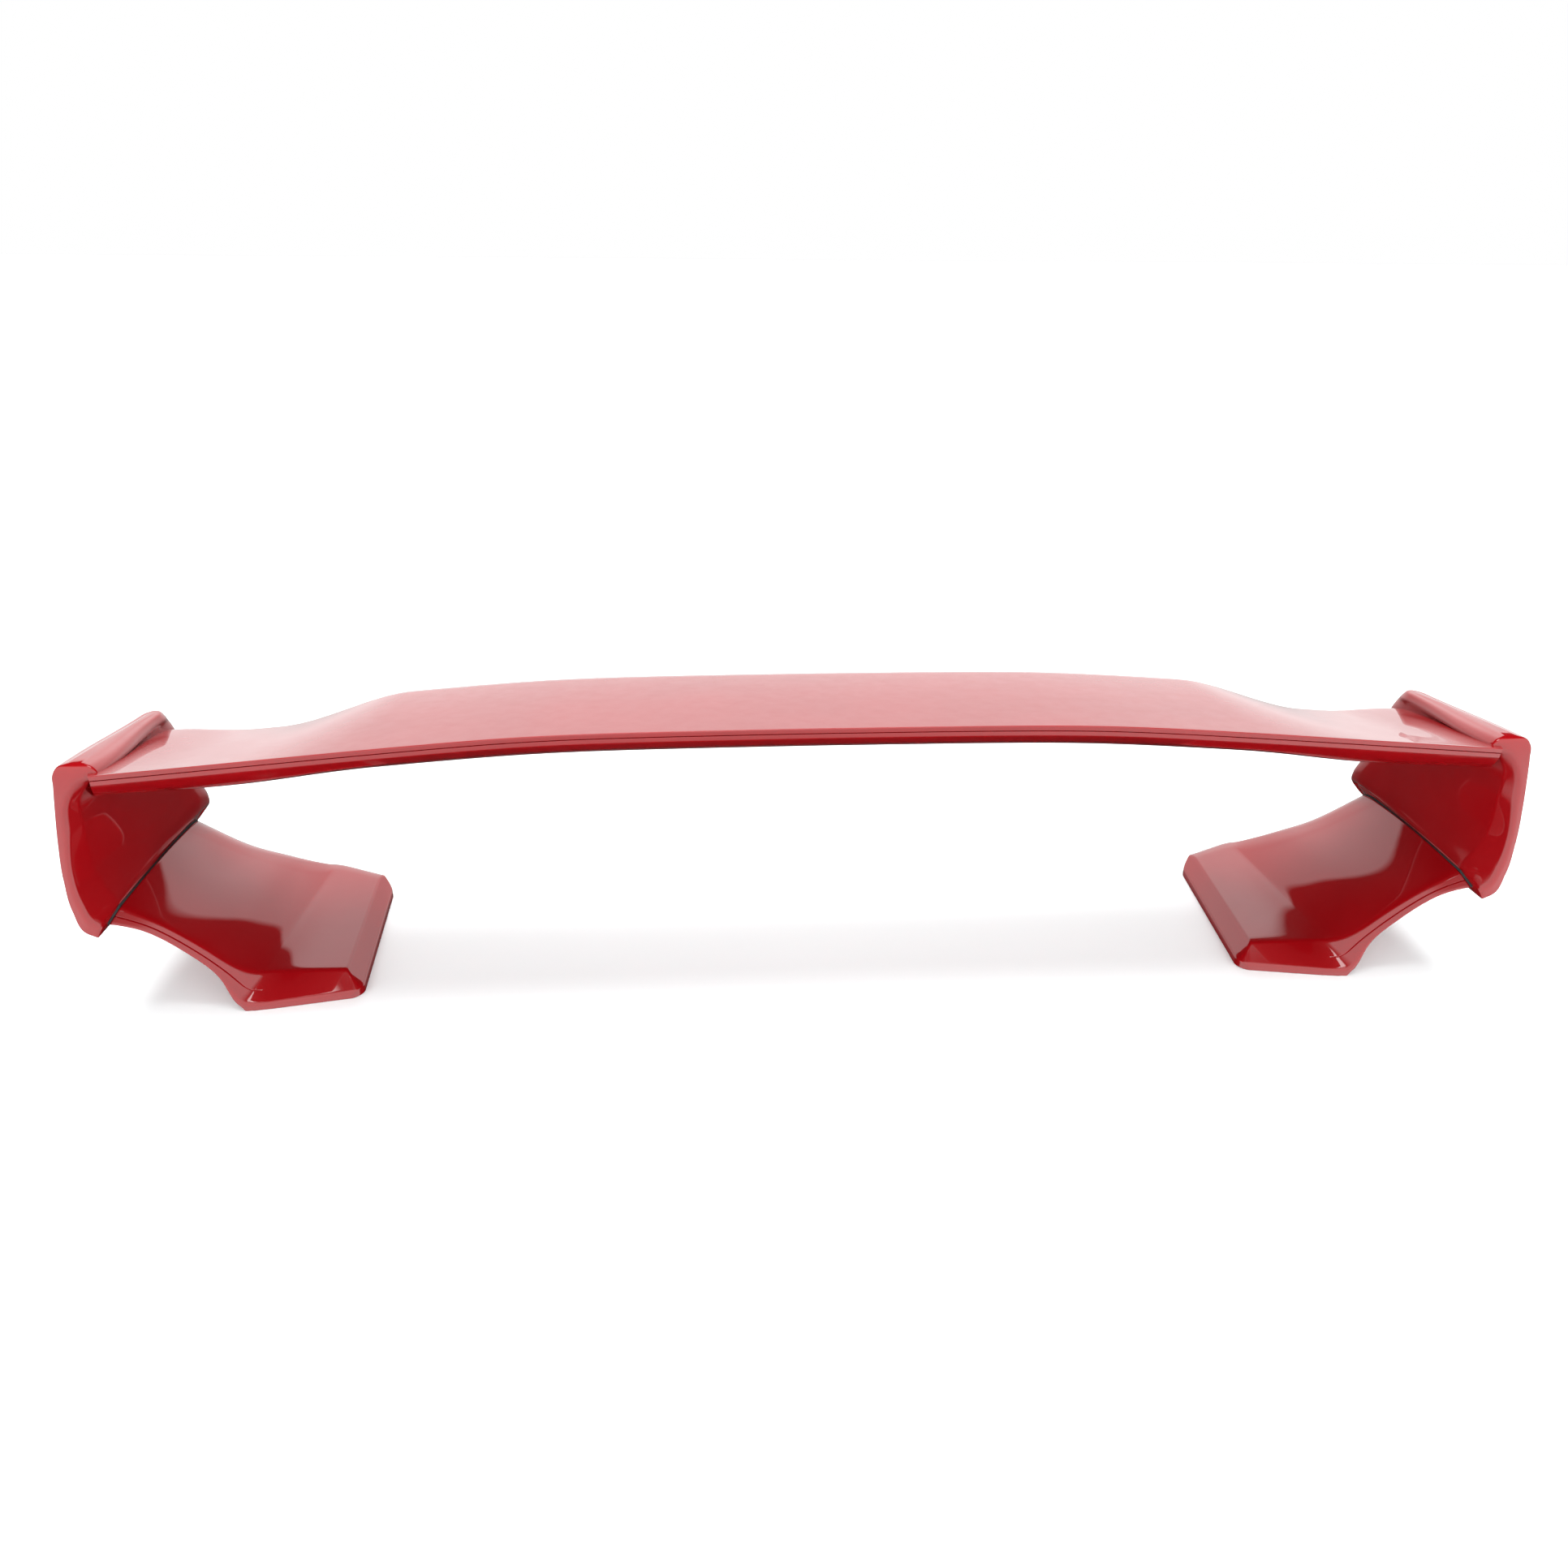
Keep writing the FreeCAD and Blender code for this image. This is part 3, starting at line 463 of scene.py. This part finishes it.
def soften(rings, first, last, rounds):
    """Even out the rings between two of them, so that one shape runs into the next."""
    table = np.array(rings)
    for _ in range(rounds):
        table[first:last] = (0.25 * table[first - 1:last - 1] + 0.5 * table[first:last]
                             + 0.25 * table[first + 1:last + 1])
    return list(table)


def run_starts(rounds, counts, corner_points):
    """Index of the first point of each run in a rounded ring."""
    starts = [0]
    for k in range(len(counts)):
        starts.append(starts[-1] + (counts[k] + corner_points if rounds[k] > 0 else counts[k] - 1))
    return starts


STARTS = run_starts(LEG_ROUNDS, LEG_COUNTS, CORNER_POINTS)


def stand_on_ground(ring):
    """Underside brought down to the ground inboard of the foot's outboard edge."""
    top, first, last = (STARTS[k] for k in (NOSE_WALL_RUN, UNDER_NOSE_RUN, TAIL_WALL_RUN))
    (x0, y0), (x1, y1) = FOOT_EDGE
    edge = x0 + (x1 - x0) * (ring[:, 1] - y0) / (y1 - y0)
    limit = PAD_FLOOR + FOOT_SLOPE * np.maximum(ring[:, 0] - edge, 0.0)
    drop = np.maximum(ring[:, 2] - limit, 0.0)
    share = np.zeros(len(ring))
    share[first:last] = 1.0
    share[top:first] = np.linspace(0.0, 1.0, first - top, endpoint=False)
    share[last:] = np.linspace(1.0, 0.0, len(ring) - last)
    drop[top:first] = drop[first]
    drop[last:] = drop[last - 1]
    ring[:, 2] -= drop * share


def leg_mesh(name, mirror):
    """Leg and foot in one moulding, from the joint's gasket to the pad's inner edge."""
    first = tuple(on_joint_plane(p) for p in LEG[0][:3]) + LEG[0][3:]
    rings = []
    for row in spread_rows((first,) + LEG[1:] + (AFTER_LEG,), ROW_STEP):
        if row[0] < PAD_LAST + 0.5:
            break
        rings.append(leg_ring(row))
    top_ring = rings[0] - OUT * GASKET_T
    rings[0] = top_ring - OUT * LIP
    rings = soften(rings, 1, len(rings) - 1, 30)
    rings = [lip(top_ring, LIP, 0.0), lip(top_ring, LIP_STEP * LIP, -LIP_STEP * LIP)] + rings
    joined = len(rings)
    rings += [pad_ring(d) for d in PAD_STEPS]
    rings = soften(rings, joined - 12, joined + 7, 24)
    for ring in rings:
        stand_on_ground(ring)
        ring[:, 2] = np.maximum(ring[:, 2], PAD_FLOOR)
    return skin_mesh(name, rings, mirror)


# ---- materials -------------------------------------------------------------------------------------
def new_material(name):
    m = bpy.data.materials.new(name)
    m.use_nodes = True
    tree = m.node_tree
    tree.nodes.clear()
    out = tree.nodes.new("ShaderNodeOutputMaterial")
    shader = tree.nodes.new("ShaderNodeBsdfPrincipled")
    tree.links.new(shader.outputs[0], out.inputs[0])
    return m, tree, shader


def noise(tree, scale, detail=3.0, roughness=0.5, stretch=None):
    where = tree.nodes.new("ShaderNodeTexCoord")
    n = tree.nodes.new("ShaderNodeTexNoise")
    n.inputs["Scale"].default_value = scale
    n.inputs["Detail"].default_value = detail
    n.inputs["Roughness"].default_value = roughness
    if stretch:
        mapping = tree.nodes.new("ShaderNodeMapping")
        mapping.inputs["Scale"].default_value = stretch
        tree.links.new(where.outputs["Object"], mapping.inputs[0])
        tree.links.new(mapping.outputs[0], n.inputs[0])
    else:
        tree.links.new(where.outputs["Object"], n.inputs[0])
    return n.outputs[0]


def ramp(tree, source, stops):
    r = tree.nodes.new("ShaderNodeValToRGB")
    e = r.color_ramp.elements
    while len(e) < len(stops):
        e.new(0.5)
    for k, (pos, value) in enumerate(stops):
        e[k].position = pos
        e[k].color = (*value, 1.0) if isinstance(value, tuple) else (value, value, value, 1.0)
    tree.links.new(source, r.inputs[0])
    return r.outputs[0]


def bump(tree, shader, source, strength, distance):
    b = tree.nodes.new("ShaderNodeBump")
    b.inputs["Strength"].default_value = strength
    b.inputs["Distance"].default_value = distance
    tree.links.new(source, b.inputs["Height"])
    tree.links.new(b.outputs[0], shader.inputs["Normal"])


def red_paint():
    """Deep red base under a glossy clear coat, with a trace of orange peel in the base."""
    m, tree, s = new_material("red_clearcoat_paint")
    colour = ramp(tree, noise(tree, 9.0, 2.0),
                  [(0.3, (0.215, 0.0014, 0.003)), (0.7, (0.235, 0.0018, 0.0038))])
    tree.links.new(colour, s.inputs["Base Color"])
    rough = ramp(tree, noise(tree, 60.0, 4.0), [(0.35, 0.32), (0.75, 0.40)])
    tree.links.new(rough, s.inputs["Roughness"])
    s.inputs["IOR"].default_value = 1.45
    s.inputs["Specular IOR Level"].default_value = 0.05
    s.inputs["Coat Weight"].default_value = 1.0
    s.inputs["Coat Roughness"].default_value = 0.015
    s.inputs["Coat IOR"].default_value = 1.5
    bump(tree, s, noise(tree, 420.0, 2.0), 0.02, 0.00005)
    return m


def rubber():
    m, tree, s = new_material("cellular_rubber")
    grain = noise(tree, 900.0, 5.0, 0.6)
    tree.links.new(ramp(tree, grain, [(0.3, (0.012, 0.012, 0.013)), (0.8, (0.03, 0.03, 0.032))]),
                   s.inputs["Base Color"])
    tree.links.new(ramp(tree, noise(tree, 300.0), [(0.3, 0.75), (0.7, 0.95)]), s.inputs["Roughness"])
    bump(tree, s, grain, 0.4, 0.0003)
    return m


def metal(name, dark, light, low, high, stretch):
    """Metal with streaks in its colour and in its roughness, from low to high."""
    m, tree, s = new_material(name)
    lines = noise(tree, 120.0, 5.0, 0.6, stretch)
    tree.links.new(ramp(tree, lines, [(0.3, dark), (0.7, light)]), s.inputs["Base Color"])
    tree.links.new(ramp(tree, lines, [(0.3, low), (0.7, high)]), s.inputs["Roughness"])
    s.inputs["Metallic"].default_value = 1.0
    bump(tree, s, lines, 0.15, 0.0001)
    return m


def black_plastic():
    m, tree, s = new_material("black_moulded_plastic")
    grain = noise(tree, 1200.0, 4.0)
    tree.links.new(ramp(tree, grain, [(0.3, (0.02, 0.02, 0.022)), (0.8, (0.04, 0.04, 0.042))]),
                   s.inputs["Base Color"])
    tree.links.new(ramp(tree, noise(tree, 80.0), [(0.3, 0.5), (0.7, 0.65)]), s.inputs["Roughness"])
    bump(tree, s, grain, 0.2, 0.0002)
    return m


FINISHES = {
    "red_paint": red_paint(),
    "black_rubber": rubber(),
    "black_rib": black_plastic(),
    "aluminium_tube": metal("mill_aluminium", (0.62, 0.63, 0.65), (0.8, 0.8, 0.82), 0.25, 0.4, (0.1, 1, 1)),
    "alloy_plate": metal("brushed_alloy", (0.55, 0.56, 0.58), (0.72, 0.73, 0.75), 0.3, 0.45, (1, 0.1, 1)),
    "zinc_plated_steel": metal("zinc_plate", (0.45, 0.46, 0.47), (0.62, 0.63, 0.65), 0.3, 0.5, (1, 1, 1)),
    "fastener_steel": metal("fastener_zinc", (0.5, 0.5, 0.51), (0.68, 0.68, 0.7), 0.25, 0.4, (1, 1, 1)),
    "brass_insert": metal("turned_brass", (0.6, 0.42, 0.16), (0.8, 0.6, 0.26), 0.25, 0.4, (1, 1, 0.1)),
}
for part in frame["record"]["subparts"]:
    mesh = nodes[part["node"]].data
    mesh.materials.clear()
    mesh.materials.append(FINISHES[part["material_slot"]])


def adopt(piece, *replaced):
    """Paint a piece and let it stand in for CAD nodes."""
    piece.data.materials.append(FINISHES["red_paint"])
    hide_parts(*replaced)
    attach(piece, "root")


adopt(blade_mesh(), "blade_upper_skin", "blade_lower_skin")
for place, is_left in (("right", False), ("left", True)):
    adopt(end_plate_mesh("end_plate_moulding_" + place, is_left), "end_plate_" + place)
    adopt(leg_mesh("leg_moulding_" + place, is_left), "leg_" + place)


# ---- floor, light and camera -------------------------------------------------------------------------
SKY_STRENGTH = 4.0
DARK, OVERHEAD, SEEN = ((v, v, v, 1.0) for v in (0.003, 2.2, 0.25))   # over SKY_STRENGTH


def floor():
    """Pale ground that throws no reflection on the paint."""
    mesh = bpy.data.meshes.new("floor")
    n, half = 24, 14.0
    grid = np.linspace(-half, half, n + 1)
    verts = [(x, y, 0.0) for y in grid for x in grid]
    faces = [(r * (n + 1) + c, r * (n + 1) + c + 1, (r + 1) * (n + 1) + c + 1, (r + 1) * (n + 1) + c)
             for r in range(n) for c in range(n)]
    mesh.from_pydata(verts, [], faces)
    obj = bpy.data.objects.new("floor", mesh)
    scene.collection.objects.link(obj)
    m, tree, s = new_material("pale_floor")
    tree.links.new(ramp(tree, noise(tree, 3.0), [(0.3, (0.83, 0.885, 0.89)), (0.7, (0.85, 0.9, 0.905))]),
                   s.inputs["Base Color"])
    s.inputs["Roughness"].default_value = 0.6
    mesh.materials.append(m)
    obj.visible_glossy = False


def soft_light(name, size_x, size_y, place, target, power):
    light = bpy.data.lights.new(name, "AREA")
    light.shape = "RECTANGLE"
    light.size, light.size_y = size_x, size_y
    light.energy = power
    obj = bpy.data.objects.new(name, light)
    obj.location = place
    obj.rotation_euler = (Vector(target) - Vector(place)).to_track_quat("-Z", "Y").to_euler()
    scene.collection.objects.link(obj)
    return obj


def world_curve(tree, height, stops):
    """Brightness by height, from (height of the direction, brightness) pairs."""
    return ramp(tree, height, [((z + 1.0) / 2.0, v / SKY_STRENGTH) for z, v in stops])


def math_node(tree, operation, a, b=0.0):
    n = tree.nodes.new("ShaderNodeMath")
    n.operation = operation
    for socket, value in zip(n.inputs, (a, b)):
        if isinstance(value, float):
            socket.default_value = value
        else:
            tree.links.new(value, socket)
    return n.outputs[0]


def blend_by(tree, factor, a, b):
    n = tree.nodes.new("ShaderNodeMix")
    n.data_type = "RGBA"
    tree.links.new(factor, n.inputs["Factor"])
    for socket, value in zip((n.inputs[6], n.inputs[7]), (a, b)):
        if isinstance(value, tuple):
            socket.default_value = value
        else:
            tree.links.new(value, socket)
    return n.outputs[2]


def sky():
    """Round bright light ahead with a low wide one, soft light from behind, a small one overhead."""
    world = bpy.data.worlds.new("studio")
    world.use_nodes = True
    tree = world.node_tree
    where = tree.nodes.new("ShaderNodeTexCoord")
    split = tree.nodes.new("ShaderNodeSeparateXYZ")
    tree.links.new(where.outputs["Generated"], split.inputs[0])
    _, y, z = split.outputs
    height = math_node(tree, "MULTIPLY_ADD", z, 0.5)
    height.node.inputs[2].default_value = 0.5
    front = world_curve(tree, height, [(-1.0, 0.05), (-0.5, 0.1), (-0.25, 0.8), (-0.1, 1.3), (0.17, 1.3),
                                       (0.35, 1.9), (0.5, 1.9), (1.0, 1.9)])
    back = world_curve(tree, height, [(-1.0, 0.8), (-0.9, 1.6), (-0.6, 2.4), (0.75, 2.4), (0.95, 0.3)])
    level = ramp(tree, height, [(0.4, 0.0), (0.45, 1.0), (0.62, 1.0), (0.64, 0.0)])
    low = math_node(tree, "MULTIPLY", level, ramp(tree, y, [(0.35, 0.0), (0.5, 1.0)]))
    is_front = math_node(tree, "MAXIMUM", ramp(tree, y, [(0.735, 0.0), (0.755, 1.0)]), low)
    is_back = ramp(tree, math_node(tree, "MULTIPLY", y, -1.0), [(0.02, 0.0), (0.2, 1.0)])
    light = blend_by(tree, is_back, blend_by(tree, is_front, DARK, front), back)
    is_top = ramp(tree, height, [(0.98, 0.0), (0.988, 1.0)])
    light = blend_by(tree, is_top, light, OVERHEAD)
    rays = tree.nodes.new("ShaderNodeLightPath")
    seen = blend_by(tree, rays.outputs["Is Camera Ray"], light, SEEN)
    background = tree.nodes["Background"]
    tree.links.new(seen, background.inputs["Color"])
    background.inputs["Strength"].default_value = SKY_STRENGTH
    scene.world = world


floor()
sky()
key = soft_light("overhead", 2.6, 2.0, (0.0, 0.3, 2.3), (0.0, 0.1, 0.0), 62.0)
key.visible_glossy = False

PITCH, YAW, ROLL = (math.radians(a) for a in (26.06, 4.13, 0.62))
CAMERA_AT = Vector((-0.1055, -0.9983 - Y_CENTRE / 1000.0, 0.7423))
LENS, SENSOR = 27.95, 36.0


def camera():
    data = bpy.data.cameras.new("camera")
    data.sensor_width = SENSOR
    data.lens = LENS
    obj = bpy.data.objects.new("camera", data)
    forward = Vector((math.cos(PITCH) * math.sin(YAW), math.cos(PITCH) * math.cos(YAW), -math.sin(PITCH)))
    right = forward.cross(Vector((0, 0, 1))).normalized()
    up = right.cross(forward)
    turn = Matrix.Rotation(-ROLL, 3, forward)
    right, up = turn @ right, turn @ up
    turned = Matrix((right, up, -forward)).transposed().to_4x4()
    obj.matrix_world = Matrix.Translation(CAMERA_AT) @ turned
    scene.collection.objects.link(obj)
    scene.camera = obj


camera()
scene.view_settings.view_transform = "Standard"
